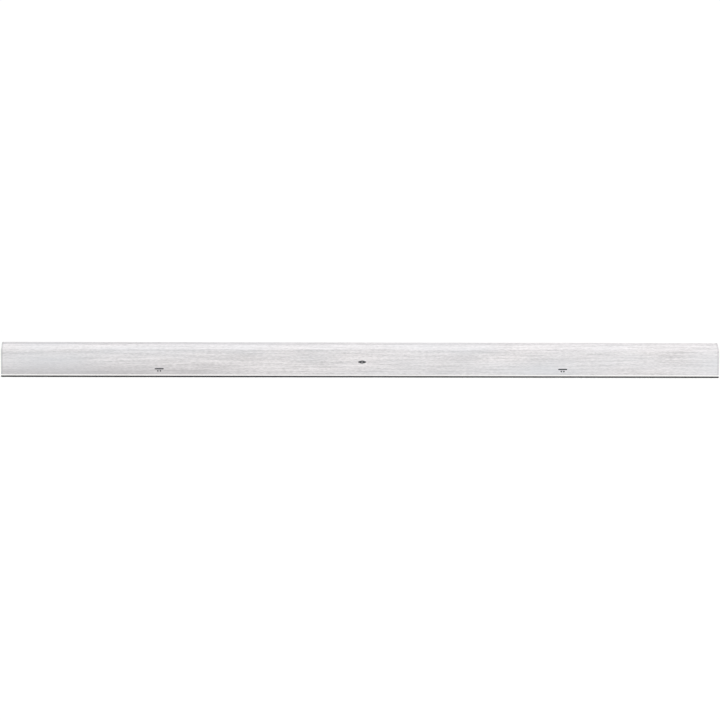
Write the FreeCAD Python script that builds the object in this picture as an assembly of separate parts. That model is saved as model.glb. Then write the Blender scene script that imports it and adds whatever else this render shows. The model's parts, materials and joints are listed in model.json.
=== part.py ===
"""Bull float: a ten-foot channel blade with a clevis bracket and a pole socket on its back.

The float stands on its heel, the wall along one long edge, with its working face upright:
X runs along the blade, Y points away from the working face, Z points up to the lip. The
heel's front corner is relieved by a slope, so that it doesn't plough wet concrete.
Pieces are modelled with Y = 0 on the working face, and exported with the origin in the
middle of the heel's flat underside. Sizes are in millimetres.

  float_blade        extruded channel: flat working face, heel, sloped lip, two bolt tracks
  bracket_base       cast plate with two ears, bolted to the tracks
  track_bolt_*       four hex-head bolts, their heads held in the tracks
  track_washer_*     a washer under each nut
  track_nut_*        four lock nuts
  track_nut_ring_*   the nylon ring in each lock nut
  pole_socket        cast tongue and tube that takes the pole
  pivot_bush_left    flanged nylon bush in the tongue
  pivot_bush_right   the same, from the other side
  pivot_bolt         hex-head bolt through ears and tongue
  stop_pin           dowel that stops the tongue's toe, with the pole square to the blade
  thrust_washer      plain washer between ear and springs
  disc_spring_inner  disc spring that keeps the joint stiff
  disc_spring_outer  the same, turned round
  tension_knob       five-lobed hand knob
  knob_insert        the brass nut moulded into the knob
"""

import FreeCAD
import Part

import math
import os

from FreeCAD import Vector

# ---------------------------------------------------------------- driving dimensions

# Blade extrusion
blade_length = 3048.0
blade_width = 148.0
blade_depth = 38.0
blade_wall = 4.0
lip_height = 31.0
heel_relief_height = 5.0
heel_relief_depth = 8.0
heel_radius = 3.0
heel_inner_radius = 2.0
bend_radius = 8.0
bend_inner_radius = 4.0

# Bolt tracks: two T-slots along the inside of the working face
track_inset = 20.5
track_slot = 8.6
track_cavity_width = 14.5
track_cavity_depth = 6.8
track_rail = 3.0
track_lip = 3.2
rail_round = 0.8

# Track bolts, M8
track_bolt_diameter = 8.0
track_head_flats = 13.0
track_head_height = 5.3
track_bolt_spare = 3.0
bolt_hole_clearance = 0.4
washer_outer_diameter = 16.0
washer_thickness = 1.6
washer_hole_clearance = 0.2
lock_nut_flats = 13.0
lock_nut_height = 6.2
lock_nut_collar_height = 2.0
lock_nut_collar_wall = 0.8
thread_clearance = 0.05

# Castings
cast_round = 1.0
cast_plate_round = 2.0

# Bracket base
plate_thickness = 7.0
plate_margin = 14.0
plate_corner_radius = 12.0
bolt_boss_radius = 11.0
bolt_boss_height = 1.5
ear_thickness = 11.0
ear_head_radius = 18.0
ear_base_half = 28.0
ear_root_radius = 8.0
ear_boss_radius = 16.0
ear_boss_height = 2.0
head_lug_length = 16.0
head_lug_height = 4.0
head_lug_reach = 4.0
head_lug_clearance = 0.2

# Pivot
tilt_limit = 80.0
swing_clearance = 4.0
pivot_bolt_diameter = 12.0
pivot_bolt_clearance = 0.2
pivot_head_flats = 18.0
pivot_head_height = 7.5
bush_wall = 1.5
bush_running_clearance = 0.05
bush_flange_radius = 13.0
bush_flange_thickness = 1.5
bush_end_gap = 1.0
tongue_side_clearance = 0.2

# Pole socket
pole_diameter = 44.45
pole_clearance = 0.375
socket_wall = 4.4
socket_depth = 80.0
socket_floor = 8.0
socket_shoulder_radius = 12.0
socket_mouth_chamfer = 1.5
socket_collar_length = 9.0
socket_collar_rise = 2.5
socket_collar_round = 1.5
socket_collar_root = 0.8
button_hole_diameter = 9.5
button_hole_from_mouth = 28.0
tongue_width = 28.0
tongue_wall = 6.5
neck_start_gap = 2.5
neck_length = 13.5
toe_length = 24.0
toe_half_width = 8.0
toe_corner_radius = 3.0
toe_root_radius = 2.0

# Stop pin
stop_pin_diameter = 8.0
stop_gap = 0.3
stop_pin_chamfer = 0.8
stop_pin_from_toe_end = 1.0

# Knob and what it presses on
thrust_washer_outer_radius = 14.0
thrust_washer_thickness = 2.0
disc_spring_outer_radius = 13.5
disc_spring_thickness = 1.2
disc_spring_cone = 0.5
knob_lobes = 5
knob_core_radius = 18.0
knob_lobe_radius = 7.5
knob_lobe_circle = 17.5
knob_height = 22.0
knob_hub_height = 5.0
knob_hub_radius = 12.5
knob_edge_round = 2.5
knob_travel = 3.5
insert_radius = 9.0
insert_length = 16.0
pivot_bolt_in_insert = 12.0
nut_to_knob_gap = 3.0

# ---------------------------------------------------------------- derived places

flat_width = blade_width - lip_height
bracket_z = flat_width / 2
track_places_z = (track_inset, flat_width - track_inset)
track_lip_under = blade_wall + track_cavity_depth
track_top = track_lip_under + track_lip
plate_top = track_top + plate_thickness
boss_top = plate_top + bolt_boss_height

socket_bore_radius = pole_diameter / 2 + pole_clearance
socket_radius = socket_bore_radius + socket_wall

# The pivot stands just high enough for the socket to clear the lip's edge at full tilt.
tilt = math.radians(tilt_limit)
edge_distance = blade_width - bracket_z
edge_along_socket = (edge_distance - socket_radius * math.cos(tilt)) / math.sin(tilt)
pivot_y = (
    blade_depth
    + swing_clearance
    + socket_radius * math.sin(tilt)
    - edge_along_socket * math.cos(tilt)
)

pivot_radius = pivot_bolt_diameter / 2
bush_bore_radius = pivot_radius + bush_running_clearance
bush_radius = bush_bore_radius + bush_wall
tongue_radius = bush_radius + tongue_wall
tongue_half = tongue_width / 2
ear_inner_x = tongue_half + bush_flange_thickness + tongue_side_clearance
ear_outer_x = ear_inner_x + ear_thickness
ear_face_x = ear_outer_x + ear_boss_height

neck_start = ear_head_radius + neck_start_gap
socket_base = neck_start + neck_length
bore_start = socket_base + socket_floor
socket_end = bore_start + socket_depth

stop_pin_radius = stop_pin_diameter / 2
stop_pin_y = pivot_y - toe_length + stop_pin_radius + stop_pin_from_toe_end
stop_pin_z = bracket_z + toe_half_width + stop_gap + stop_pin_radius

spring_height = disc_spring_thickness + disc_spring_cone
spring_start_x = ear_face_x + thrust_washer_thickness
knob_start_x = spring_start_x + 2 * spring_height
pivot_bolt_end_x = knob_start_x + pivot_bolt_in_insert

# The nuts stand outboard of the knob, so that a spanner gets past it.
nut_corner_radius = lock_nut_flats / math.sqrt(3)
track_bolt_x = knob_start_x + knob_height + knob_travel + nut_corner_radius + nut_to_knob_gap
plate_half_length = track_bolt_x + plate_margin

heel_centre_y = (heel_relief_depth + blade_depth - blade_wall / 2) / 2

X = Vector(1, 0, 0)
Y = Vector(0, 1, 0)
Z = Vector(0, 0, 1)

# Two points nearer than this are one point.
SAME_PLACE = 1e-6


# ---------------------------------------------------------------- helpers


def across(y, z):
    """A point of a section across the blade."""
    return Vector(0, y, z)


def facing(x, z):
    """A point of an outline seen square to the working face."""
    return Vector(x, 0, z)


def endwise(x, y):
    """A point of an outline seen from above."""
    return Vector(x, y, 0)


def corner_arc(corner, before, after, radius):
    """The start, middle and end of the arc that rounds a corner between two directions."""
    half = before.getAngle(after) / 2
    cut = radius / math.tan(half)
    centre = corner + (before + after).normalize() * (radius / math.sin(half))
    middle = centre + (corner - centre).normalize() * radius
    return corner + before * cut, middle, corner + after * cut


def rounded_outline(corners, point):
    """A closed wire through corners given as (u, v, radius), each rounded by a tangent arc."""
    arcs = []
    for i, (u, v, radius) in enumerate(corners):
        corner = point(u, v)
        if radius == 0:
            arcs.append((corner, corner, corner))
            continue
        following = corners[(i + 1) % len(corners)]
        before = (point(*corners[i - 1][:2]) - corner).normalize()
        after = (point(*following[:2]) - corner).normalize()
        arcs.append(corner_arc(corner, before, after, radius))
    edges = []
    for i, (start, middle, end) in enumerate(arcs):
        if start.distanceToPoint(end) > SAME_PLACE:
            edges.append(Part.Arc(start, middle, end).toShape())
        following = arcs[(i + 1) % len(arcs)][0]
        if end.distanceToPoint(following) > SAME_PLACE:
            edges.append(Part.LineSegment(end, following).toShape())
    return Part.Wire(edges)


def prism(corners, point, start, length):
    """The outline's solid, starting at the vector start and running along the vector length."""
    face = Part.Face(rounded_outline(corners, point))
    face.translate(start)
    return face.extrude(length)


def cylinder(radius, start, length, axis):
    return Part.makeCylinder(radius, length, start, axis)


def hexagon(flats, start, height, axis, first_corner):
    """A hex prism, with one corner in the direction first_corner."""
    corner = Vector(first_corner).normalize() * (flats / math.sqrt(3))
    turn = FreeCAD.Rotation(axis, 60)
    points = [start + corner]
    for _ in range(5):
        corner = turn.multVec(corner)
        points.append(start + corner)
    face = Part.Face(Part.makePolygon(points + [points[0]]))
    return face.extrude(Vector(axis) * height)


def cone_bevel(solid, flats, start, height, axis):
    """Takes the corners of a hex prism down by a 30-degree cone at its far end."""
    corner_radius = flats / math.sqrt(3)
    drop = (corner_radius - flats / 2) * math.tan(math.radians(30))
    keep = cylinder(corner_radius, start, height - drop, axis)
    taper = Part.makeCone(corner_radius, flats / 2, drop, start + axis * (height - drop), axis)
    return solid.common(keep.fuse(taper))


def ring(outer, inner, start, length, axis):
    return cylinder(outer, start, length, axis).cut(cylinder(inner, start, length, axis))


def rounded_rims(solid, radius, axis, places):
    """Rounds the edges that lie flat in a plane across an axis, at any of the places."""
    rims = []
    for edge in solid.Edges:
        along = [axis.dot(v.Point) for v in edge.Vertexes] + [axis.dot(edge.CenterOfMass)]
        if any(max(abs(a - place) for a in along) < SAME_PLACE for place in places):
            rims.append(edge)
    return solid.makeFillet(radius, rims)


def fused(solids):
    whole = solids[0].fuse(solids[1:])
    return whole.removeSplitter()


def tangent_point(outside, centre, radius, side):
    """Where a line from a point touches a circle, all in the section across the blade."""
    away = outside - centre
    turn = math.degrees(math.acos(radius / away.Length)) * side
    return centre + FreeCAD.Rotation(X, turn).multVec(away.normalize()) * radius


# ---------------------------------------------------------------- blade


def blade_corners():
    """The channel's section: heel, working face and lip, one wall thick, with round free edges."""
    half_wall = blade_wall / 2
    relief = math.hypot(heel_relief_depth, heel_relief_height)
    offset = heel_relief_depth * heel_relief_height + blade_wall * relief
    relief_z = (offset - heel_relief_height * blade_wall) / heel_relief_depth
    relief_y = (offset - heel_relief_depth * blade_wall) / heel_relief_height
    tip_y = blade_depth - half_wall
    tip_z = blade_width - half_wall
    reach = math.hypot(tip_y, tip_z - flat_width)
    slope = math.atan2(tip_y, tip_z - flat_width) - math.asin(half_wall / reach)
    length = math.sqrt(reach**2 - half_wall**2) + half_wall
    end_y = length * math.sin(slope)
    end_z = flat_width + length * math.cos(slope)
    inner_y = end_y + blade_wall * math.cos(slope)
    inner_z = end_z - blade_wall * math.sin(slope)
    bend_z = flat_width - blade_wall * math.tan(slope / 2)
    return [
        (blade_depth, 0, half_wall),
        (heel_relief_depth, 0, heel_radius),
        (0, heel_relief_height, heel_radius),
        (0, flat_width, bend_radius),
        (end_y, end_z, half_wall),
        (inner_y, inner_z, half_wall),
        (blade_wall, bend_z, bend_inner_radius),
        (blade_wall, relief_z, heel_inner_radius),
        (relief_y, blade_wall, heel_inner_radius),
        (blade_depth, blade_wall, half_wall),
    ]


def rail_corners(centre_z, side):
    """One L-shaped rail of a bolt track."""
    outer = centre_z + side * (track_cavity_width / 2 + track_rail)
    inner = centre_z + side * track_cavity_width / 2
    slot = centre_z + side * track_slot / 2
    return [
        (blade_wall, outer, 0),
        (track_top, outer, rail_round),
        (track_top, slot, rail_round),
        (track_lip_under, slot, 0),
        (track_lip_under, inner, 0),
        (blade_wall, inner, 0),
    ]


def float_blade():
    start = X * (-blade_length / 2)
    solids = [prism(blade_corners(), across, start, X * blade_length)]
    for centre_z in track_places_z:
        for side in (-1, 1):
            solids.append(prism(rail_corners(centre_z, side), across, start, X * blade_length))
    return fused(solids)


# ---------------------------------------------------------------- bracket base and its fasteners


def track_bolt_places():
    """Where the four bolts' axes stand: a name for each place, and its (x, z)."""
    places = {}
    for side, x in (("left", -track_bolt_x), ("right", track_bolt_x)):
        for track, z in zip(("lower", "upper"), track_places_z):
            places[f"{side}_{track}"] = (x, z)
    return places


def ear_outline(from_x, to_x, inset=0.0):
    """A wall with the ear's outline, from one X to another; inset makes the outline smaller."""
    head_radius = ear_head_radius - inset
    base_half = ear_base_half - inset
    pivot = across(pivot_y, bracket_z)
    low = across(track_top, bracket_z - base_half)
    high = across(track_top, bracket_z + base_half)
    low_touch = tangent_point(low, pivot, head_radius, 1)
    high_touch = tangent_point(high, pivot, head_radius, -1)
    top = pivot + Y * head_radius
    edges = [
        Part.LineSegment(low, low_touch).toShape(),
        Part.Arc(low_touch, top, high_touch).toShape(),
        Part.LineSegment(high_touch, high).toShape(),
        Part.LineSegment(high, low).toShape(),
    ]
    face = Part.Face(Part.Wire(edges))
    face.translate(X * from_x)
    return face.extrude(X * (to_x - from_x))


def ear(side):
    """One ear, its edges rounded as cast."""
    ends = sorted((side * ear_inner_x, side * ear_outer_x))
    wall = ear_outline(*ends)
    rims = []
    for edge in wall.Edges:
        flat = edge.BoundBox.XLength < SAME_PLACE
        if flat and edge.BoundBox.YMax > track_top + SAME_PLACE:
            rims.append(edge)
    return wall.makeFillet(cast_round, rims)


def ear_root(side):
    """The casting's hollow fillet where an ear's outer side meets the plate."""
    inside = side * (ear_outer_x - ear_thickness / 2)
    face = side * ear_outer_x
    far = side * (ear_outer_x + ear_root_radius)
    top = plate_top + ear_root_radius
    low = track_top + plate_thickness / 2
    corners = [
        (inside, low, 0),
        (far, low, 0),
        (far, plate_top, 0),
        (face, plate_top, ear_root_radius),
        (face, top, 0),
        (inside, top, 0),
    ]
    web = prism(corners, endwise, Z * (bracket_z - ear_base_half), Z * (2 * ear_base_half))
    return web.common(ear_outline(inside, far, cast_round))


def head_lugs():
    """Two lugs that keep the pivot bolt's head from turning."""
    lugs = []
    for side in (-1, 1):
        near = side * (pivot_head_flats / 2 + head_lug_clearance)
        far = near + side * head_lug_height
        corner = Vector(
            -ear_face_x - head_lug_reach, pivot_y - head_lug_length / 2, bracket_z + min(near, far)
        )
        length = head_lug_reach + ear_boss_height + ear_thickness / 2
        lugs.append(Part.makeBox(length, head_lug_length, head_lug_height, corner))
    return lugs


def bracket_base():
    low = track_places_z[0] - track_cavity_width / 2 - track_rail
    high = track_places_z[1] + track_cavity_width / 2 + track_rail
    corners = [
        (x, z, plate_corner_radius)
        for x, z in (
            (-plate_half_length, low),
            (plate_half_length, low),
            (plate_half_length, high),
            (-plate_half_length, high),
        )
    ]
    plate = prism(corners, facing, Y * track_top, Y * plate_thickness)
    solids = [rounded_rims(plate, cast_plate_round, Y, [plate_top])]
    for x, z in track_bolt_places().values():
        solids.append(cylinder(bolt_boss_radius, Vector(x, track_top, z), boss_top - track_top, Y))
    for side in (-1, 1):
        solids.append(ear(side))
        solids.append(ear_root(side))
        boss_from = min(side * ear_inner_x, side * ear_face_x)
        boss_length = ear_face_x - ear_inner_x
        solids.append(
            cylinder(ear_boss_radius, Vector(boss_from, pivot_y, bracket_z), boss_length, X)
        )
    solids += head_lugs()
    casting = fused(solids)
    hole = track_bolt_diameter / 2 + bolt_hole_clearance
    for x, z in track_bolt_places().values():
        casting = casting.cut(cylinder(hole, Vector(x, track_top - 1, z), boss_top, Y))
    through = 2 * (ear_face_x + head_lug_reach)
    pivot_hole = pivot_radius + pivot_bolt_clearance
    start = Vector(-through / 2, pivot_y, bracket_z)
    casting = casting.cut(cylinder(pivot_hole, start, through, X))
    start = Vector(-through / 2, stop_pin_y, stop_pin_z)
    return casting.cut(cylinder(stop_pin_radius, start, through, X))


def track_bolt(x, z):
    """A bolt whose head is under the track's lips, long enough to pass its nut."""
    seat = Vector(x, track_lip_under, z)
    shank_length = boss_top + washer_thickness + lock_nut_height + lock_nut_collar_height
    shank_length += track_bolt_spare - track_lip_under
    head_start = seat - Y * track_head_height
    head = hexagon(track_head_flats, head_start, track_head_height, Y, X)
    return fused([head, cylinder(track_bolt_diameter / 2, seat, shank_length, Y)])


def track_washer(x, z):
    hole = track_bolt_diameter / 2 + washer_hole_clearance
    return ring(washer_outer_diameter / 2, hole, Vector(x, boss_top, z), washer_thickness, Y)


def lock_nut_parts():
    """The steel shell and the nylon ring of one lock nut, standing on the origin along Y."""
    bore = track_bolt_diameter / 2 + thread_clearance
    base = Vector(0, 0, 0)
    shell = hexagon(lock_nut_flats, base, lock_nut_height, Y, X)
    shell = cone_bevel(shell, lock_nut_flats, base, lock_nut_height, Y)
    collar_radius = lock_nut_flats / 2 - lock_nut_collar_wall
    collar_start = Y * lock_nut_height
    shell = fused([shell, cylinder(collar_radius, collar_start, lock_nut_collar_height, Y)])
    pocket_radius = collar_radius - lock_nut_collar_wall
    pocket_depth = 2 * lock_nut_collar_height
    pocket_start = Y * (lock_nut_height + lock_nut_collar_height - pocket_depth)
    shell = shell.cut(cylinder(pocket_radius, pocket_start, pocket_depth, Y))
    shell = shell.cut(cylinder(bore, base, lock_nut_height, Y))
    nylon = ring(pocket_radius, bore, pocket_start, pocket_depth, Y)
    return shell, nylon


def on_washer(solid, x, z):
    """A copy of a nut's piece, moved on to the washer of one track bolt."""
    copy = solid.copy()
    copy.translate(Vector(x, boss_top + washer_thickness, z))
    return copy


# ---------------------------------------------------------------- pole socket and pivot


def toe_roots(tongue, pivot):
    """The two inside corners where the toe runs into the tongue's round end."""
    roots = []
    for edge in tongue.Edges:
        from_pivot = edge.CenterOfMass - pivot
        across_whole_tongue = abs(from_pivot.x) < SAME_PLACE
        on_round_end = abs(from_pivot.Length - tongue_radius) < SAME_PLACE
        if across_whole_tongue and on_round_end and from_pivot.y < -SAME_PLACE:
            roots.append(edge)
    return roots


def pole_socket():
    """At rest the socket points straight out of the blade's back, along Y."""
    pivot = Vector(0, pivot_y, bracket_z)
    left = Vector(-tongue_half, pivot_y, bracket_z)
    toe = [
        (pivot_y - toe_length, bracket_z - toe_half_width, toe_corner_radius),
        (pivot_y, bracket_z - toe_half_width, 0),
        (pivot_y, bracket_z + toe_half_width, 0),
        (pivot_y - toe_length, bracket_z + toe_half_width, toe_corner_radius),
    ]
    neck = [
        (pivot_y, bracket_z - tongue_radius, 0),
        (pivot_y + socket_base, bracket_z - tongue_radius, 0),
        (pivot_y + socket_base, bracket_z + tongue_radius, 0),
        (pivot_y, bracket_z + tongue_radius, 0),
    ]
    tongue = fused(
        [
            cylinder(tongue_radius, left, tongue_width, X),
            prism(toe, across, X * -tongue_half, X * tongue_width),
            prism(neck, across, X * -tongue_half, X * tongue_width),
        ]
    )
    tongue = tongue.makeFillet(toe_root_radius, toe_roots(tongue, pivot))
    tongue = rounded_rims(tongue, cast_round, X, [-tongue_half, tongue_half])
    collar_start = socket_end - socket_collar_length
    collar_radius = socket_radius + socket_collar_rise
    barrel = [
        (neck_start, 0, 0),
        (neck_start, tongue_half, 0),
        (socket_base, socket_radius, socket_shoulder_radius),
        (collar_start, socket_radius, socket_collar_root),
        (collar_start, collar_radius, socket_collar_round),
        (socket_end, collar_radius, socket_collar_round),
        (socket_end, 0, 0),
    ]
    profile = Part.Face(rounded_outline(barrel, across))
    profile.translate(pivot)
    casting = fused([tongue, profile.revolve(pivot, Y, 360)])
    mouth_radius = socket_bore_radius + socket_mouth_chamfer
    mouth_start = pivot + Y * (socket_end - socket_mouth_chamfer)
    mouth = Part.makeCone(socket_bore_radius, mouth_radius, socket_mouth_chamfer, mouth_start, Y)
    casting = casting.cut(mouth)
    casting = casting.cut(cylinder(socket_bore_radius, pivot + Y * bore_start, socket_depth, Y))
    casting = casting.cut(cylinder(bush_radius, left, tongue_width, X))
    button = Vector(-collar_radius, pivot_y + socket_end - button_hole_from_mouth, bracket_z)
    return casting.cut(cylinder(button_hole_diameter / 2, button, 2 * collar_radius, X))


def outer_circles(solid, radius):
    """The circular edges of a plain cylinder."""
    return [e for e in solid.Edges if len(e.Vertexes) == 1 and abs(e.Curve.Radius - radius) < SAME_PLACE]


def pivot_bush(side):
    """A flanged bush; side is -1 for the left one and 1 for the right one."""
    length = tongue_half - bush_end_gap / 2
    start = Vector(side * tongue_half, pivot_y, bracket_z)
    sleeve = cylinder(bush_radius, start, length, X * -side)
    flange = cylinder(bush_flange_radius, start, bush_flange_thickness, X * side)
    bush = fused([sleeve, flange])
    through = 2 * tongue_width
    bore_start = Vector(-through / 2, pivot_y, bracket_z)
    return bush.cut(cylinder(bush_bore_radius, bore_start, through, X))


def pivot_bolt():
    seat = Vector(-ear_face_x, pivot_y, bracket_z)
    head = hexagon(pivot_head_flats, seat, pivot_head_height, -X, Y)
    head = cone_bevel(head, pivot_head_flats, seat, pivot_head_height, -X)
    shank = cylinder(pivot_radius, seat, pivot_bolt_end_x + ear_face_x, X)
    return fused([head, shank])


def stop_pin():
    start = Vector(-ear_outer_x, stop_pin_y, stop_pin_z)
    pin = cylinder(stop_pin_radius, start, 2 * ear_outer_x, X)
    return pin.makeChamfer(stop_pin_chamfer, outer_circles(pin, stop_pin_radius))


# ---------------------------------------------------------------- knob and springs


def thrust_washer():
    start = Vector(ear_face_x, pivot_y, bracket_z)
    hole = pivot_radius + washer_hole_clearance
    return ring(thrust_washer_outer_radius, hole, start, thrust_washer_thickness, X)


def disc_spring(start_x, opens):
    """A conical washer. With opens 1 its inner edge is at start_x, and with -1 its outer edge."""
    inner = pivot_radius + washer_hole_clearance
    outer = disc_spring_outer_radius
    inner_x = start_x if opens > 0 else start_x + disc_spring_cone
    outer_x = start_x if opens < 0 else start_x + disc_spring_cone
    thick = disc_spring_thickness
    points = [
        Vector(inner_x, pivot_y + inner, bracket_z),
        Vector(outer_x, pivot_y + outer, bracket_z),
        Vector(outer_x + thick, pivot_y + outer, bracket_z),
        Vector(inner_x + thick, pivot_y + inner, bracket_z),
    ]
    face = Part.Face(Part.makePolygon(points + [points[0]]))
    return face.revolve(Vector(0, pivot_y, bracket_z), X, 360)


def knob_insert():
    start = Vector(knob_start_x, pivot_y, bracket_z)
    body = cylinder(insert_radius, start, insert_length, X)
    return body.cut(cylinder(pivot_radius + thread_clearance, start, insert_length, X))


def tension_knob():
    start = Vector(knob_start_x, pivot_y, bracket_z)
    grip_start = start + X * knob_hub_height
    grip_height = knob_height - knob_hub_height
    solids = [cylinder(knob_core_radius, grip_start, grip_height, X)]
    for i in range(knob_lobes):
        place = FreeCAD.Rotation(X, 360 / knob_lobes * i).multVec(Y) * knob_lobe_circle
        solids.append(cylinder(knob_lobe_radius, grip_start + place, grip_height, X))
    grip = fused(solids)
    rims = [
        e
        for e in grip.Edges
        if e.BoundBox.XLength < SAME_PLACE and e.BoundBox.XMin > knob_start_x
    ]
    grip = grip.makeFillet(knob_edge_round, rims)
    hub = cylinder(knob_hub_radius, start, knob_hub_height, X)
    knob = fused([grip, hub])
    return knob.cut(cylinder(insert_radius, start, insert_length, X))


# ---------------------------------------------------------------- export


def export(name, shape):
    """Writes one node, with the origin moved to the heel's underside."""
    (solid,) = shape.Solids
    solid.translate(Y * -heel_centre_y)
    solid.exportStep(f"parts/{name}.step")
    print(f"{name}: {solid.Volume / 1000:.2f} cm3, valid {solid.isValid()}")


def main():
    os.makedirs("parts", exist_ok=True)
    export("float_blade", float_blade())
    export("bracket_base", bracket_base())
    nut_shell, nut_nylon = lock_nut_parts()
    for place, (x, z) in track_bolt_places().items():
        export(f"track_bolt_{place}", track_bolt(x, z))
        export(f"track_washer_{place}", track_washer(x, z))
        export(f"track_nut_{place}", on_washer(nut_shell, x, z))
        export(f"track_nut_ring_{place}", on_washer(nut_nylon, x, z))
    export("pole_socket", pole_socket())
    export("pivot_bush_left", pivot_bush(-1))
    export("pivot_bush_right", pivot_bush(1))
    export("pivot_bolt", pivot_bolt())
    export("stop_pin", stop_pin())
    export("thrust_washer", thrust_washer())
    export("disc_spring_inner", disc_spring(spring_start_x, 1))
    export("disc_spring_outer", disc_spring(spring_start_x + spring_height, -1))
    export("knob_insert", knob_insert())
    export("tension_knob", tension_knob())


if __name__ == "__main__":
    main()
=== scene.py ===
# %% [markdown]
# # A bull float, finished and lit
# A bull float is a ten-foot metal blade that a concrete finisher pushes over a wet slab on
# the end of a long pole. This notebook takes the exact solids of one, gives every surface
# the look of the metal or plastic it is made of, adds the small things that the solids
# leave out, and sets up a white studio around it. The blade stands on its long lower edge
# with its working face towards the camera.

# %% Load the frame
import json
import math

import bmesh
import bpy
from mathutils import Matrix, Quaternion, Vector


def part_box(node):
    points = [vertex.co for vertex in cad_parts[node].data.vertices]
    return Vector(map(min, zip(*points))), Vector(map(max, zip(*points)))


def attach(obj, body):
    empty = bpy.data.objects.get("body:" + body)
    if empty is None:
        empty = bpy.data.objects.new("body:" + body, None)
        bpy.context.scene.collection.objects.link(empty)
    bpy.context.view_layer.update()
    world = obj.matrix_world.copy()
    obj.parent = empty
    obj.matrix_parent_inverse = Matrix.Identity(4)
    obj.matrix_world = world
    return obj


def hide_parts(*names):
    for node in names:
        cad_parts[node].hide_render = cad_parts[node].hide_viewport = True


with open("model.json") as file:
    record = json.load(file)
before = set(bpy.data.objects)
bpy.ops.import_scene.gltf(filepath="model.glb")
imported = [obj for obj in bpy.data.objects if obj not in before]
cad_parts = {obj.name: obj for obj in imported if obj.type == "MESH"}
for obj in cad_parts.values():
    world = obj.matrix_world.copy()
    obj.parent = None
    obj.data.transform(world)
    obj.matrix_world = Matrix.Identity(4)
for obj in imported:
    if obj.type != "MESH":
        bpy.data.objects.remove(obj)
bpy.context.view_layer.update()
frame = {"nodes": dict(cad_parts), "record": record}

nodes = frame["nodes"]

# %% [markdown]
# ## Where things are
# Each place below is read from the solids, so a piece that is added here stays on the
# metal it belongs to when a size changes. Blender works in metres, and small details are
# easier to think of in millimetres, so one constant turns the one into the other.

# %% Places read from the solids
MM = 0.001


def corners(box):
    """The lowest and the highest corner of a box, as vectors."""
    return [Vector(corner) for corner in box]


blade_low, blade_high = corners(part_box("float_blade"))
blade_length = blade_high.x - blade_low.x
face_y = blade_low.y
pivot_bolt_low, pivot_bolt_high = corners(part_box("pivot_bolt"))
pivot_y = (pivot_bolt_low.y + pivot_bolt_high.y) / 2
pivot_z = (pivot_bolt_low.z + pivot_bolt_high.z) / 2
print(f"blade {blade_length / MM:.0f} mm long")
print(f"pivot {(pivot_y - face_y) / MM:.1f} mm behind its face")

# %% [markdown]
# ## Colours
# People write colours as hex codes, which are stored on a curve that suits screens (sRGB).
# A renderer adds light up, so it needs plain linear amounts. One function does the change.

# %% From a hex code to a linear colour
def linear(hex_code):
    """A colour for a shader socket, from a code such as "E0E0DF"."""
    channels = []
    for start in (0, 2, 4):
        value = int(hex_code[start:start + 2], 16) / 255
        channels.append(value / 12.92 if value <= 0.04045 else ((value + 0.055) / 1.055) ** 2.4)
    return (*channels, 1.0)


print("light grey is", [round(c, 3) for c in linear("E0E0DF")])

# %% [markdown]
# ## One way to add a node
# A procedural material is a small graph. Each node is added with its settings and with what
# feeds each of its inputs: a number, a colour, or the output of another node. An input is
# named, or numbered where Blender gives several inputs one name, as its Mix node does.

# %% The node helper
def add_node(material, kind, inputs=None, **settings):
    """A node of a kind, its settings made and its inputs set or linked."""
    new = material.node_tree.nodes.new(kind)
    for name, value in settings.items():
        setattr(new, name, value)
    for name, value in (inputs or {}).items():
        socket = new.inputs[name]
        if isinstance(value, bpy.types.NodeSocket):
            material.node_tree.links.new(value, socket)
        else:
            socket.default_value = value
    return new


print("a node is added by its kind, with its inputs and its settings")

# %% [markdown]
# ## Starting and ending a material
# Every material here starts in the same way: the values that are the same all over the
# surface go on the shader itself, and the patterns start from where a point lies on its own
# piece, so that they stay with the piece when it moves. It ends when the patterns are linked
# to the shader, and the material goes on the solids that are made of it.

# %% A new material, its shader's links, and the solids it goes on
def new_material(name, uniform):
    """A material with its uniform values set, and the place of each surface point, in metres."""
    material = bpy.data.materials.new(name)
    material.use_nodes = True
    shader = material.node_tree.nodes["Principled BSDF"]
    for socket, value in uniform.items():
        shader.inputs[socket].default_value = value
    return material, add_node(material, "ShaderNodeTexCoord").outputs["Object"]


def finish_shader(material, patterns):
    """Links the patterns that have been made to the shader's inputs."""
    shader = material.node_tree.nodes["Principled BSDF"]
    for socket, pattern in patterns.items():
        material.node_tree.links.new(pattern, shader.inputs[socket])


def dress(material, *names):
    """Puts a material on CAD nodes, in place of the plain one they came with."""
    for name in names:
        nodes[name].data.materials.clear()
        nodes[name].data.materials.append(material)
    print(f"{material.name} on {len(names)} solids")


METAL = {"Metallic": 1.0}
print("a metal starts from", METAL)

# %% [markdown]
# ## The blade: extruded aluminium, left as it comes
# The blade is pressed hot through a steel die, and nothing is done to it after. Every nick
# in the die draws a line along the whole length, so the eye sees long fine streaks, a soft
# shine that is stretched across them, and a few large areas that are duller and faintly
# blue. A painted texture would blur when seen close up, but noise that is stretched along
# the blade stays sharp at any distance. Four layers are made: die lines a few millimetres
# wide that carry on for a hand-span, short scuffs one or two centimetres long, hair lines
# half a millimetre wide, and cloudy patches half a metre long. The hair lines are too fine
# to show from far away, and give a close look its grain.

# %% Four patterns drawn out along the blade
mill_aluminium, point = new_material("mill_finish_aluminium", METAL)


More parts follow.
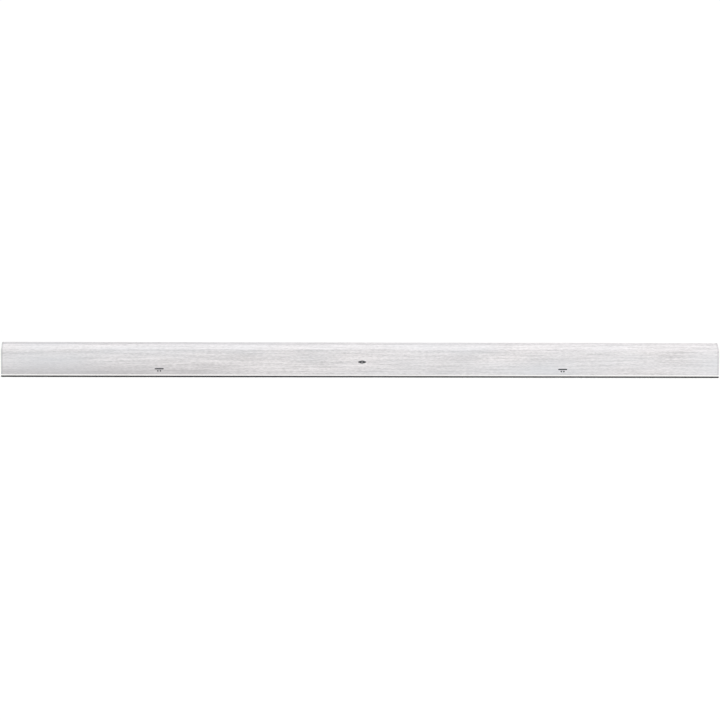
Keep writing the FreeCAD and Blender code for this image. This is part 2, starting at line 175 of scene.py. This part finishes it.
def drawn_out(length, width, detail, roughness=0.5):
    """Noise whose marks have this length along the blade and this width across it."""
    stretched = add_node(
        mill_aluminium, "ShaderNodeMapping",
        {"Vector": point, "Scale": (1 / length, 1 / width, 1 / width)},
    )
    pattern = add_node(
        mill_aluminium, "ShaderNodeTexNoise",
        {
            "Vector": stretched.outputs["Vector"], "Scale": 1.0,
            "Detail": detail, "Roughness": roughness,
        },
    )
    return pattern.outputs["Fac"]


die_lines = drawn_out(200 * MM, 6 * MM, 3.0, 0.6)
hair_lines = drawn_out(60 * MM, 0.5 * MM, 1.0)
scuffs = drawn_out(16 * MM, 2.8 * MM, 3.0, 0.6)
clouds = drawn_out(500 * MM, 120 * MM, 2.0)
print("die lines, hair lines, scuffs and clouds are made")

# %% [markdown]
# ## From patterns to a tone
# The three kinds of streak are added up, each with its own weight, and the sum picks a tone
# between a darker and a lighter grey. The clouds then pull that towards a cooler grey. The
# limits are set where the patterns really lie, since noise seldom comes near 0 or 1.

# %% Streaks and clouds
streaks = die_lines
for finer, weight in ((scuffs, 1.1), (hair_lines, 0.6)):
    added = add_node(
        mill_aluminium, "ShaderNodeMath", {0: finer, 1: weight, 2: streaks},
        operation="MULTIPLY_ADD",
    )
    streaks = added.outputs["Value"]

streak_amount = add_node(
    mill_aluminium, "ShaderNodeMapRange",
    {"Value": streaks, "From Min": 1.08, "From Max": 1.62},
)
cloud_amount = add_node(
    mill_aluminium, "ShaderNodeMapRange",
    {"Value": clouds, "From Min": 0.42, "From Max": 0.75, "To Max": 0.55},
)
streaked = add_node(
    mill_aluminium, "ShaderNodeMix",
    {0: streak_amount.outputs["Result"], 6: linear("C1BFC0"), 7: linear("EEEBEC")},
    data_type="RGBA",
)
clouded = add_node(
    mill_aluminium, "ShaderNodeMix",
    {0: cloud_amount.outputs["Result"], 6: streaked.outputs[2], 7: linear("D3D6DA")},
    data_type="RGBA",
)
print("streaks and clouds are mixed")

# %% [markdown]
# ## Where the blade is not all alike
# Five places on the blade have a tone of their own. A painted highlight on the heel's corner and a
# painted shadow on the slope under it together draw a fine light and dark line along the bottom.
# The lip's free edge and the two ends are darker with painted shade, and the lower part of the
# face towards one end is darker too. The places and tones are known, and the causes are guesses: a
# corner burnished by handling, oxide that nothing rubs off, filing, and a thin film of dried
# cement. Each is a mask worked out from where the point lies on the blade: a ramp between two
# heights, depths or lengths, and ramps are multiplied where a place is bounded in more than one
# direction.

# %% Masks by place
point_parts = add_node(mill_aluminium, "ShaderNodeSeparateXYZ", {"Vector": point})


def place_mask(*ramps, how="MULTIPLY"):
    """A mask for a place on the blade. Each ramp is a direction, the two places between which
    it grows from 0, and the most it reaches. The mask is where all of its ramps are, or with
    MAXIMUM, where any of them is."""
    mask = None
    for direction, start, end, most in ramps:
        ramp = add_node(
            mill_aluminium, "ShaderNodeMapRange",
            {
                "Value": point_parts.outputs[direction],
                "From Min": start, "From Max": end, "To Max": most,
            },
        ).outputs["Result"]
        if mask is None:
            mask = ramp
        else:
            both = add_node(
                mill_aluminium, "ShaderNodeMath", {0: mask, 1: ramp}, operation=how
            )
            mask = both.outputs["Value"]
    return mask


# the lower part of the face is made darker towards the left end
darkening_top, darkening_full = 75 * MM, 25 * MM
darkening_right, darkening_left = -0.30, -0.75
lower_face_darkening = place_mask(
    ("Z", darkening_top, darkening_full, 1.0), ("Y", face_y + 2 * MM, face_y + 1 * MM, 1.0),
    ("X", darkening_right, darkening_left, 0.37),
)
# painted shade: a darker band along each end of the blade
end_shade_from, end_shade_full = 9 * MM, 5 * MM
painted_shade_ends = place_mask(
    ("X", blade_low.x + end_shade_from, blade_low.x + end_shade_full, 0.5),
    ("X", blade_high.x - end_shade_from, blade_high.x - end_shade_full, 0.35), how="MAXIMUM",
)
# painted shade: a darker band along the lip's free edge, strongest towards the left end
lip_edge_from, lip_edge_full = 136.5 * MM, 139.5 * MM
lip_strong_end, lip_faint_end = -1.2, 3.0
painted_shade_lip = place_mask(
    ("Z", lip_edge_from, lip_edge_full, 1.0), ("X", lip_faint_end, lip_strong_end, 0.45)
)
# painted highlight: a bright band along the heel's corner
corner_from, corner_full = 12.5 * MM, 11.0 * MM
painted_highlight_corner = place_mask(
    ("Z", corner_from, corner_full, 1.0), ("Y", face_y + 1.1 * MM, face_y + 1.0 * MM, 1.0)
)
# painted shadow: a dark band on the slope under the heel
slope_from, slope_full = 6.6 * MM, 6.0 * MM
painted_shadow_slope = place_mask(
    ("Z", slope_from, slope_full, 1.0), ("Y", face_y + 8.7 * MM, face_y + 8.6 * MM, 1.0)
)
print("five places are masked")

# %% [markdown]
# ## Laying the tones over each other
# Each mask lays its own tone over what is already there, like thin coats of paint. The painted
# highlight on the corner and the painted shadow on the slope come last, because they are sharp and
# nothing should veil them.

# %% Tones by place
blade_tone = clouded.outputs[2]
# the tones for the ends and the lip are painted shade, and the last two are a painted highlight
# and a painted shadow
for mask, hex_code in (
    (lower_face_darkening, "ADAAAC"), (painted_shade_ends, "ABAAAC"), (painted_shade_lip, "A9A8AB"),
    (painted_highlight_corner, "F4F3F2"), (painted_shadow_slope, "545659"),
):
    laid_over = add_node(
        mill_aluminium, "ShaderNodeMix", {0: mask, 6: blade_tone, 7: linear(hex_code)},
        data_type="RGBA",
    )
    blade_tone = laid_over.outputs[2]
print("five tones are laid over the streaks")

# %% [markdown]
# ## The blade's shine and relief
# The die lines are also slightly smoother and slightly deeper in turn, so they steer the
# roughness. The relief is a few hundredths of a millimetre, just enough to break up a
# reflection.

# %% Roughness and relief of the blade
mill_roughness = add_node(
    mill_aluminium, "ShaderNodeMapRange",
    {"Value": die_lines, "From Min": 0.3, "From Max": 0.7, "To Min": 0.34, "To Max": 0.48},
)
hair_relief = add_node(
    mill_aluminium, "ShaderNodeBump",
    {"Height": hair_lines, "Strength": 0.35, "Distance": 0.03 * MM},
)
die_relief = add_node(
    mill_aluminium, "ShaderNodeBump",
    {
        "Height": die_lines, "Strength": 0.3, "Distance": 0.05 * MM,
        "Normal": hair_relief.outputs["Normal"],
    },
)
finish_shader(mill_aluminium, {
    "Base Color": blade_tone, "Roughness": mill_roughness.outputs["Result"],
    "Normal": die_relief.outputs["Normal"],
})
dress(mill_aluminium, "float_blade")

# %% [markdown]
# ## The castings: aluminium poured in sand, then blasted
# The bracket's base and the pole socket are cast, and their skin keeps the grain of the
# sand, about half a millimetre, dulled again by shot. The eye sees a darker, even grey with
# a fine roughness that catches light in points. Where a tool has faced or bored the metal
# it is brighter, with turning rings. Two functions make both castings: one starts the sand
# skin, and the other mixes it with tooled metal by a mask.

# %% Sand skin and tooled metal
def cast_aluminium(name):
    """The material, and the point, grain and dull colour that its masks build on."""
    material, spot = new_material(name, METAL)
    sand = add_node(
        material, "ShaderNodeTexNoise",
        {"Vector": spot, "Scale": 1 / (0.6 * MM), "Detail": 4.0, "Roughness": 0.6},
    )
    shading = add_node(
        material, "ShaderNodeTexNoise", {"Vector": spot, "Scale": 1 / (22 * MM), "Detail": 3.0}
    )
    dull = add_node(
        material, "ShaderNodeMix",
        {0: shading.outputs["Fac"], 6: linear("9C9D9F"), 7: linear("B9BABC")},
        data_type="RGBA",
    )
    return material, spot, sand, dull


def machined_where(material, mask, sand, dull, rings):
    """Finishes a casting: sand skin where the mask is 0, tooled metal with rings where it is 1."""
    colour = add_node(
        material, "ShaderNodeMix", {0: mask, 6: dull.outputs[2], 7: linear("D4D4D4")},
        data_type="RGBA",
    )
    rough = add_node(
        material, "ShaderNodeMapRange", {"Value": mask, "To Min": 0.58, "To Max": 0.3}
    )
    height = add_node(
        material, "ShaderNodeMix", {0: mask, 2: sand.outputs["Fac"], 3: rings},
        data_type="FLOAT",
    )
    relief = add_node(
        material, "ShaderNodeBump",
        {"Height": height.outputs[0], "Strength": 0.6, "Distance": 0.12 * MM},
    )
    finish_shader(material, {
        "Base Color": colour.outputs[2], "Roughness": rough.outputs["Result"],
        "Normal": relief.outputs["Normal"],
    })


print("a casting is sand skin, and tooled metal where its mask says so")

# %% [markdown]
# ## How far apart the tool's rings are
# A wave texture of scale 1 repeats every 2 pi / 20 m. A boring tool steps on by about
# 0.4 mm a turn and a facing tool by 0.5 mm, which is too fine to show here, so the rings are
# drawn 2 pi times as coarse, about 2.5 and 3 mm apart.

# %% Scale of the rings
wave_length = 2 * math.pi / 20
coarser = 2 * math.pi
bore_rings = wave_length / (coarser * 0.4 * MM)
face_rings = wave_length / (coarser * 0.5 * MM)
print(f"wave scales: bore {bore_rings:.0f}, faces {face_rings:.0f}")

# %% [markdown]
# ## The socket's bore
# The pole slides into a bored hole, so the metal in there is bright. A point is in the bore
# if it lies nearer to the tube's axis than the bore's radius, and behind the neck. The
# distance from the axis is the length of the point's place once its part along the axis has
# been multiplied away.

# %% Bored socket
bore = next(mount for mount in frame["record"]["mounts"] if mount["name"] == "pole_bore")
bore_radius = bore["dims"]["r_mm"] * MM
neck_length = 36 * MM
socket_metal, spot, sand, dull = cast_aluminium("sand_cast_aluminium_bored")
from_axis = add_node(
    socket_metal, "ShaderNodeVectorMath", {0: spot, 1: (0, 0, -pivot_z)}, operation="ADD"
)
flattened = add_node(
    socket_metal, "ShaderNodeVectorMath",
    {0: from_axis.outputs["Vector"], 1: (1, 0, 1)}, operation="MULTIPLY",
)
radius = add_node(
    socket_metal, "ShaderNodeVectorMath", {0: flattened.outputs["Vector"]}, operation="LENGTH"
)
in_bore = add_node(
    socket_metal, "ShaderNodeMath", {0: radius.outputs["Value"], 1: bore_radius + 0.1 * MM},
    operation="LESS_THAN",
)
along = add_node(socket_metal, "ShaderNodeSeparateXYZ", {"Vector": spot})
past_neck = add_node(
    socket_metal, "ShaderNodeMath", {0: along.outputs["Y"], 1: pivot_y + neck_length},
    operation="GREATER_THAN",
)
bored = add_node(
    socket_metal, "ShaderNodeMath",
    {0: in_bore.outputs["Value"], 1: past_neck.outputs["Value"]}, operation="MULTIPLY",
)
ring_wave = add_node(
    socket_metal, "ShaderNodeTexWave", {"Vector": spot, "Scale": bore_rings},
    bands_direction="Y",
)
machined_where(socket_metal, bored.outputs["Value"], sand, dull, ring_wave.outputs["Fac"])
dress(socket_metal, "pole_socket")

# %% [markdown]
# ## The base's faces
# The bosses under the washers and the outer sides of the ears are faced flat, so that the
# fasteners bear evenly. A point belongs to such a face if it is level with it, to within a
# twentieth of a millimetre. Both ears are caught at once by the distance from the middle.

# %% Faced base
level = 0.05 * MM
boss_face_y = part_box("track_washer_left_lower")[0][1]
ear_face_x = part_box("thrust_washer")[0][0]
base_metal, spot, sand, dull = cast_aluminium("sand_cast_aluminium_faced")
spot_parts = add_node(base_metal, "ShaderNodeSeparateXYZ", {"Vector": spot})
to_boss_face = add_node(
    base_metal, "ShaderNodeMath", {0: spot_parts.outputs["Y"], 1: boss_face_y, 2: level},
    operation="COMPARE",
)
sideways = add_node(
    base_metal, "ShaderNodeMath", {0: spot_parts.outputs["X"]}, operation="ABSOLUTE"
)
to_ear_face = add_node(
    base_metal, "ShaderNodeMath", {0: sideways.outputs["Value"], 1: ear_face_x, 2: level},
    operation="COMPARE",
)
faced = add_node(
    base_metal, "ShaderNodeMath",
    {0: to_boss_face.outputs["Value"], 1: to_ear_face.outputs["Value"]}, operation="MAXIMUM",
)
swirl = add_node(
    base_metal, "ShaderNodeTexWave", {"Vector": spot, "Scale": face_rings},
    wave_type="RINGS", rings_direction="X",
)
machined_where(base_metal, faced.outputs["Value"], sand, dull, swirl.outputs["Fac"])
dress(base_metal, "bracket_base")

# %% [markdown]
# ## What the small pieces have in common
# The steel, brass, nylon, ink and paper below all end in the same way. One pattern makes the
# colour wander between two tones, one makes the roughness wander in a range, and one gives a
# fine relief. Only the patterns and their amounts differ, so one function does it for all.

# %% A finish that wanders
def wander(material, tones, roughness, relief=None):
    """Finishes a shader: tones is a pattern and two hex codes, roughness a pattern and its
    range, and relief a pattern, its strength and its depth."""
    pattern, first, second = tones
    tone = add_node(
        material, "ShaderNodeMix", {0: pattern, 6: linear(first), 7: linear(second)},
        data_type="RGBA",
    )
    pattern, smoothest, roughest = roughness
    rough = add_node(
        material, "ShaderNodeMapRange",
        {"Value": pattern, "To Min": smoothest, "To Max": roughest},
    )
    links = {"Base Color": tone.outputs[2], "Roughness": rough.outputs["Result"]}
    if relief:
        pattern, strength, depth = relief
        bumps = add_node(
            material, "ShaderNodeBump",
            {"Height": pattern, "Strength": strength, "Distance": depth},
        )
        links["Normal"] = bumps.outputs["Normal"]
    finish_shader(material, links)


print("small pieces wander in tone and roughness over a fine relief")

# %% [markdown]
# ## The fasteners: steel with bright zinc
# Bolts, nuts and washers are mild steel with a few thousandths of a millimetre of zinc. It
# is a cool, clean grey, and the clear passivation over it drifts between faintly blue and
# faintly straw-coloured. A slow noise moves the colour, and a finer one roughens it.

# %% Zinc-plated steel
zinc_steel, point = new_material("zinc_plated_steel", METAL)
drift = add_node(
    zinc_steel, "ShaderNodeTexNoise", {"Vector": point, "Scale": 1 / (9 * MM), "Detail": 2.0}
)
tumble = add_node(
    zinc_steel, "ShaderNodeTexNoise",
    {"Vector": point, "Scale": 1 / (0.35 * MM), "Detail": 3.0},
)
wander(
    zinc_steel, (drift.outputs["Fac"], "BFC6CF", "D2CDBE"),
    (tumble.outputs["Fac"], 0.2, 0.38), (tumble.outputs["Fac"], 0.2, 0.02 * MM),
)
places = [f"{side}_{track}" for side in ("left", "right") for track in ("lower", "upper")]
dress(
    zinc_steel, "pivot_bolt", "thrust_washer",
    *[f"track_{piece}_{place}" for piece in ("bolt", "washer", "nut") for place in places],
)

# %% [markdown]
# ## Ground, phosphated and turned metal
# The stop pin is ground, so fine lines run round it. The disc springs are hardened and then
# phosphated, which leaves a dark, slightly crystalline coat that holds oil. The knob's
# insert is brass, turned from bar. They are small, but each takes the light in its own way.

# %% Ground steel, phosphated steel and brass
def small_metal(name, first, second, grain, roughness, stretch=(1, 1, 1)):
    """A metal whose colour wanders between two tones, with a fine grain in its surface."""
    material, spot = new_material(name, METAL)
    stretched = add_node(material, "ShaderNodeMapping", {"Vector": spot, "Scale": stretch})
    fine = add_node(
        material, "ShaderNodeTexNoise",
        {"Vector": stretched.outputs["Vector"], "Scale": 1 / grain, "Detail": 3.0},
    ).outputs["Fac"]
    wander(
        material, (fine, first, second), (fine, roughness - 0.06, roughness + 0.06),
        (fine, 0.3, 0.03 * MM),
    )
    return material


dress(small_metal("ground_steel", "9A9B9D", "B4B5B6", 1 * MM, 0.26, (8, 0.6, 0.6)), "stop_pin")
dress(
    small_metal("phosphated_spring_steel", "2E2F31", "47484A", 0.3 * MM, 0.48),
    "disc_spring_inner", "disc_spring_outer",
)
dress(
    small_metal("turned_brass", "C9A356", "D9B76C", 0.8 * MM, 0.3, (6, 1, 1)), "knob_insert"
)

# %% [markdown]
# ## Plastics: nylon, black, blue and natural
# The knob is glass-filled nylon, moulded in a tool whose walls were spark-eroded, so it has
# a fine even stipple of about a fifth of a millimetre. The ring in each lock nut is blue
# nylon, and the bushes are natural nylon, a warm off-white. Real nylon lets a little light
# in, which is left out, because the bushes hardly show. Nylon has an IOR of about 1.53, and
# none of these is polished, so roughness stays high.

# %% Moulded nylon
def nylon(name, first, second, stipple, roughness):
    """A moulded plastic, from its two tones and the size of its stipple."""
    material, spot = new_material(name, {"Metallic": 0.0, "IOR": 1.53})
    cloud = add_node(
        material, "ShaderNodeTexNoise", {"Vector": spot, "Scale": 1 / (14 * MM), "Detail": 2.0}
    ).outputs["Fac"]
    grain = add_node(
        material, "ShaderNodeTexNoise", {"Vector": spot, "Scale": 1 / stipple, "Detail": 2.0}
    ).outputs["Fac"]
    wander(
        material, (cloud, first, second), (cloud, roughness - 0.07, roughness + 0.07),
        (grain, 0.45, 0.06 * MM),
    )
    return material


knob_nylon = nylon("black_glass_filled_nylon", "17181A", "232426", 0.2 * MM, 0.5)
dress(knob_nylon, "tension_knob")
dress(
    nylon("blue_nylon", "22478A", "2C559C", 0.15 * MM, 0.4),
    *[f"track_nut_ring_{place}" for place in places],
)
dress(
    nylon("natural_nylon", "DCD6C4", "E6E1D2", 0.15 * MM, 0.42),
    "pivot_bush_left", "pivot_bush_right",
)

# %% [markdown]
# ## A piece of our own
# Pieces that the solids leave out are built as meshes, each from a list of points and faces.
# A new piece takes a material, rides on the body that carries it, and is smoothed where its
# faces meet at a shallow angle, so that round things look round and edges stay crisp.

# %% Make a piece from points and faces
crisp_angle = math.radians(35)


def make_piece(name, points, faces, material, body):
    """A mesh piece that moves with a body."""
    mesh = bpy.data.meshes.new(name)
    mesh.from_pydata([tuple(p) for p in points], [], faces)
    mesh.validate()
    mesh.materials.append(material)
    piece = bpy.data.objects.new(name, mesh)
    bpy.context.scene.collection.objects.link(piece)
    shell = bmesh.new()
    shell.from_mesh(mesh)
    bmesh.ops.recalc_face_normals(shell, faces=shell.faces)
    shell.to_mesh(mesh)
    shell.free()
    mesh.shade_smooth()
    mesh.set_sharp_from_angle(angle=crisp_angle)
    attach(piece, body)
    print(f"{name}: {len(mesh.vertices)} points")
    return piece


def skin_rings(rings, closed_ends=True):
    """Points and faces of a tube through rings that have the same number of points."""
    count = len(rings[0])
    points = [p for ring in rings for p in ring]
    faces = []
    for row in range(len(rings) - 1):
        here, beyond = row * count, (row + 1) * count
        for i in range(count):
            j = (i + 1) % count
            faces.append((here + i, here + j, beyond + j, beyond + i))
    if closed_ends:
        faces.append(tuple(range(count)))
        last = (len(rings) - 1) * count
        faces.append(tuple(last + i for i in reversed(range(count))))
    return points, faces


def turns(steps):
    """The angles of so many equal steps round a circle."""
    return [2 * math.pi * step / steps for step in range(steps)]


print("edges stay crisp above", round(math.degrees(crisp_angle)), "degrees")

# %% [markdown]
# ## Track bolts with real threads
# A smooth rod sticking out of a nut looks wrong at once, so the four bolts that hold the
# bracket get a thread. A bump map could draw rings, but the outline against the plate
# would stay smooth. Here the shank is a grid of points wrapped round the bolt. Each point's
# depth follows a saw-tooth that runs on by one pitch, 1.25 mm for M8, in each turn, which
# is exactly what a helix is. The tip is bevelled so that a nut starts easily.

# %% The thread's helix
thread_pitch = 1.25 * MM
thread_depth = 0.62 * MM
bolt_radius = 4 * MM
tip_bevel = 0.9 * MM
inside_box = 0.1 * MM
rounds = 32


def thread_ring(x, z, y, start_y, end_y):
    """One ring of points round a bolt's axis, cut by the thread's helix."""
    ring = []
    for step, angle in enumerate(turns(rounds)):
        phase = ((y - start_y) / thread_pitch - step / rounds) % 1
        depth = thread_depth * abs(2 * phase - 1)
        bevel = max(0, tip_bevel - (end_y - y))
        reach = min(bolt_radius - depth, bolt_radius - inside_box - bevel)
        ring.append(Vector((x + reach * math.cos(angle), y, z + reach * math.sin(angle))))
    return ring


print(f"thread of {thread_pitch / MM} mm pitch, {rounds} points round")

# %% [markdown]
# ## The bolt's head, and the whole bolt
# The head slides in a track, so its hexagon is kept exactly as wide as the solid's. Its rings
# have as many points as the thread's, and one skin can then run from the head to the tip.

# %% Threaded track bolts
head_height = 5.3 * MM
head_bevel = 0.5 * MM
head_inset = 0.9 * MM
rows_per_turn = 6


def hexagon_ring(x, z, y, flats, shrink=0.0):
    """Points round a hexagon, as many as round the thread, so that the two can be skinned."""
    ring = []
    for angle in turns(rounds):
        within = (angle + math.pi / 6) % (math.pi / 3) - math.pi / 6
        flat_angle = math.pi / 6 - abs(within)
        reach = flats / 2 / math.cos(flat_angle) - shrink
        ring.append(Vector((x + reach * math.cos(angle), y, z + reach * math.sin(angle))))
    return ring


def track_bolt(place):
    """A hex-head bolt whose thread starts under its head."""
    low, high = corners(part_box(f"track_bolt_{place}"))
    x = (low.x + high.x) / 2
    z = (low.z + high.z) / 2
    flats = high.z - low.z
    head_top = low.y + head_height
    rings = [
        hexagon_ring(x, z, low.y, flats, head_inset),
        hexagon_ring(x, z, low.y + head_bevel, flats),
        hexagon_ring(x, z, head_top, flats),
    ]
    steps = int((high.y - head_top) / (thread_pitch / rows_per_turn))
    for row in range(steps + 1):
        y = head_top + (high.y - head_top) * row / steps
        rings.append(thread_ring(x, z, y, head_top, high.y))
    points, faces = skin_rings(rings)
    piece = make_piece(
        f"threaded_track_bolt_{place}", points, faces, zinc_steel, "blade"
    )
    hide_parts(f"track_bolt_{place}")


for place in places:
    track_bolt(place)

# %% [markdown]
# ## The knob's cap
# The knob is moulded with a blind middle, closed by a small pressed-in cap. It is a shallow
# dome with a rounded rim and a fine ring groove, turned from one profile of radius and
# height, which is the quickest way to make anything round.

# %% Knob cap
knob_end = corners(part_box("tension_knob"))[1].x
cap_points_round = 48
cap_profile = [
    (11.0, -0.3), (11.0, 0.5), (10.7, 0.9), (10.1, 1.1), (9.4, 1.12), (9.2, 0.85), (8.9, 0.85),
    (8.7, 1.16), (6.5, 1.38), (4.0, 1.52), (1.6, 1.58), (0.3, 1.6),
]
cap_rings = []
for radius_mm, height_mm in cap_profile:
    ring = []
    for angle in turns(cap_points_round):
        ring.append(Vector((
            knob_end + height_mm * MM,
            pivot_y + radius_mm * MM * math.cos(angle),
            pivot_z + radius_mm * MM * math.sin(angle),
        )))
    cap_rings.append(ring)
points, faces = skin_rings(cap_rings)
make_piece("knob_cap", points, faces, knob_nylon, "knob")

# %% [markdown]
# ## Mould lines on the socket
# Two halves of a sand mould never meet perfectly, and a thin ridge of metal is left along
# the joint. It is ground down after casting, but a trace a fraction of a millimetre high
# stays, along the top and the bottom of the socket. It wavers a little, and tapers at both
# ends.

# %% Mould lines
line_start = pivot_y + 42 * MM
line_end = corners(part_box("pole_socket"))[1].y - 9.6 * MM
tube_radius = bore_radius + 4.4 * MM
line_rows = 40
ridge = ((-1, -0.3), (-0.6, 0.6), (0, 1), (0.6, 0.6), (1, -0.3), (0, -0.5))
for side, name in ((1, "mould_line_top"), (-1, "mould_line_bottom")):
    rings = []
    for row in range(line_rows):
        share = row / (line_rows - 1)
        y = line_start + (line_end - line_start) * share
        taper = min(1, 12 * share, 12 * (1 - share)) ** 0.5
        height = (0.28 + 0.06 * math.sin(17 * share)) * MM * taper + 0.02 * MM
        half_width = (0.7 + 0.1 * math.sin(11 * share + 1)) * MM * taper + 0.05 * MM
        rings.append([
            Vector((across * half_width, y, pivot_z + side * (tube_radius + up * height)))
            for across, up in ridge
        ])
    points, faces = skin_rings(rings)
    make_piece(name, points, faces, socket_metal, "socket")

# %% [markdown]
# ## Ink
# The working face carries three small marks in dark ink. Dry ink on metal is matt, and it is
# thin and worn in places, which noise in its colour shows.

# %% Screen-printed ink
ink, point = new_material("screen_printed_ink", {"Metallic": 0.0, "IOR": 1.5})
wear = add_node(
    ink, "ShaderNodeTexNoise", {"Vector": point, "Scale": 1 / (1.5 * MM), "Detail": 4.0}
).outputs["Fac"]
wander(ink, (wear, "242529", "46484C"), (wear, 0.5, 0.75), (wear, 0.2, 0.02 * MM))
print(ink.name, "is ready")

# %% [markdown]
# ## Outlines and thin plates
# Ink is a film about a tenth of a millimetre thick. It could be a colour in the blade's own
# material, but a thin plate that stands just proud of the face has a real edge. One kind of
# outline, with a power that squares it or draws it to points, gives every shape.

# %% Shapes for the marks
ink_thickness = 0.12 * MM
ink_overlap = 0.01 * MM
outline_steps = 64


def soft_outline(x, z, half_width, half_height, power):
    """A closed outline: power 1 gives a lozenge, 2 an ellipse, and more a bar with soft ends."""
    outline = []
    for angle in turns(outline_steps):
        c, s = math.cos(angle), math.sin(angle)
        outline.append((
            x + half_width * math.copysign(abs(c) ** (2 / power), c),
            z + half_height * math.copysign(abs(s) ** (2 / power), s),
        ))
    return outline


def plate_from_loops(outer, inner=None):
    """Points and faces of a plate on the working face. One loop is a filled shape, and two
    are a band between an outer and an inner outline with the same number of points."""
    back = face_y + ink_overlap
    front = face_y - ink_thickness
    if inner is None:
        return skin_rings([[Vector((x, y, z)) for x, z in outer] for y in (back, front)])
    points, faces = skin_rings(
        [
            [Vector((x, y, z)) for x, z in loop]
            for loop, y in ((outer, back), (outer, front), (inner, front), (inner, back))
        ],
        closed_ends=False,
    )
    count = len(outer)
    for i in range(count):
        j = (i + 1) % count
        faces.append((3 * count + i, 3 * count + j, j, i))
    return points, faces


def joined(parts):
    """Points and faces of several plates, as one mesh."""
    points, faces = [], []
    for part_points, part_faces in parts:
        shift = len(points)
        points += part_points
        faces += [tuple(i + shift for i in face) for face in part_faces]
    return points, faces


print(f"ink {ink_thickness / MM:.2f} mm thick")

# %% [markdown]
# ## The three marks
# One mark is near the middle and one towards each end. They are plain shapes of our own: a
# lozenge with an open middle, and a bar over two dots.

# %% Printed marks
middle_x = 3.3 * MM
middle_z = 65.5 * MM
lozenge_power = 1.4
points, faces = plate_from_loops(
    soft_outline(middle_x, middle_z, 18 * MM, 6.6 * MM, lozenge_power),
    soft_outline(middle_x, middle_z, 5 * MM, 1.2 * MM, lozenge_power),
)
make_piece("middle_mark", points, faces, ink, "blade")

end_mark_x = 0.281 * blade_length
end_mark_z = 35.5 * MM
dot_z = end_mark_z - 9 * MM
dot_spread = 5.5 * MM
for side, name in ((-1, "left_mark"), (1, "right_mark")):
    x = side * end_mark_x
    plates = [plate_from_loops(soft_outline(x, end_mark_z, 19 * MM, 2.8 * MM, 6))]
    for dot_x in (x - dot_spread, x + dot_spread):
        plates.append(plate_from_loops(soft_outline(dot_x, dot_z, 3.4 * MM, 3.2 * MM, 2)))
    points, faces = joined(plates)
    make_piece(name, points, faces, ink, "blade")

# %% [markdown]
# ## The floor
# The blade stands on a plain white floor that runs far past the view on every side, so no
# edge of it is ever seen. It is matt paper: a faint mottle in its colour is all it needs.

# %% Floor
paper, point = new_material("matt_white_paper", {"Metallic": 0.0, "IOR": 1.45})
mottle = add_node(
    paper, "ShaderNodeTexNoise", {"Vector": point, "Scale": 3.0, "Detail": 3.0}
).outputs["Fac"]
wander(paper, (mottle, "FBFBFA", "FEFEFD"), (mottle, 0.85, 0.95))

floor_reach = 60.0
floor_mesh = bpy.data.meshes.new("floor")
floor_mesh.from_pydata(
    [(x * floor_reach, y * floor_reach, 0) for x, y in ((-1, -1), (1, -1), (1, 1), (-1, 1))],
    [], [(0, 1, 2, 3)],
)
floor_mesh.materials.append(paper)
floor = bpy.data.objects.new("floor", floor_mesh)
bpy.context.scene.collection.objects.link(floor)
print("floor reaches", floor_reach, "m each way")

# %% [markdown]
# ## Light
# Bare metal shows what is round it more than what it is, so a studio for metal is mostly
# large white surfaces. The world is an even white. A broad panel overhead is a little
# brighter, and the sloped lip, which faces up, shows it as a lighter band. A second panel in
# front and to the right makes the face brighten slowly from left to right.

# %% World and panels
world = bpy.data.worlds.new("studio")
bpy.context.scene.world = world
world.use_nodes = True
backdrop = world.node_tree.nodes["Background"]
backdrop.inputs["Color"].default_value = linear("FFFFFF")
backdrop.inputs["Strength"].default_value = 1.05


def light_panel(name, place, aim, width, height, watts):
    """A soft rectangular lamp at a place, facing what it is aimed at."""
    lamp = bpy.data.lights.new(name, "AREA")
    lamp.shape = "RECTANGLE"
    lamp.size = width
    lamp.size_y = height
    lamp.energy = watts
    panel = bpy.data.objects.new(name, lamp)
    panel.location = place
    panel.rotation_euler = (Vector(aim) - Vector(place)).to_track_quat("-Z", "Y").to_euler()
    bpy.context.scene.collection.objects.link(panel)
    print(f"{name}: {watts} W over {width} by {height} m")


light_panel(
    "overhead_panel", place=(0, 0.4, 4.0), aim=(0, 0, 0), width=6.0, height=3.0, watts=16
)
light_panel(
    "front_right_panel", place=(4.5, -6.0, 3.0), aim=(0.8, 0, 0.05), width=3.0, height=3.0,
    watts=26,
)
bpy.context.scene.view_settings.view_transform = "Standard"

# %% [markdown]
# ## Camera
# A long lens from almost nine metres keeps the blade's two long edges nearly parallel. The
# camera stands a little left of the middle and a little above the blade, so the left end
# comes out slightly taller than the right, and it is rolled by a tenth of a degree.

# %% Camera
camera_data = bpy.data.cameras.new("camera")
camera_data.lens = 103.7
camera_data.sensor_width = 36
camera_data.clip_end = 200
camera = bpy.data.objects.new("camera", camera_data)
bpy.context.scene.collection.objects.link(camera)
bpy.context.scene.camera = camera

aim = Vector((-0.0058, face_y, 0.0741))
distance = 8.8
to_the_left = 0.2
elevation = math.radians(1)
roll = math.radians(0.124)
camera.location = aim + Vector((
    -to_the_left, -distance * math.cos(elevation), distance * math.sin(elevation)
))
looking = (aim - camera.location).to_track_quat("-Z", "Y")
camera.rotation_mode = "QUATERNION"
camera.rotation_quaternion = looking @ Quaternion((0, 0, 1), roll)
print("camera at", [round(c, 3) for c in camera.location])
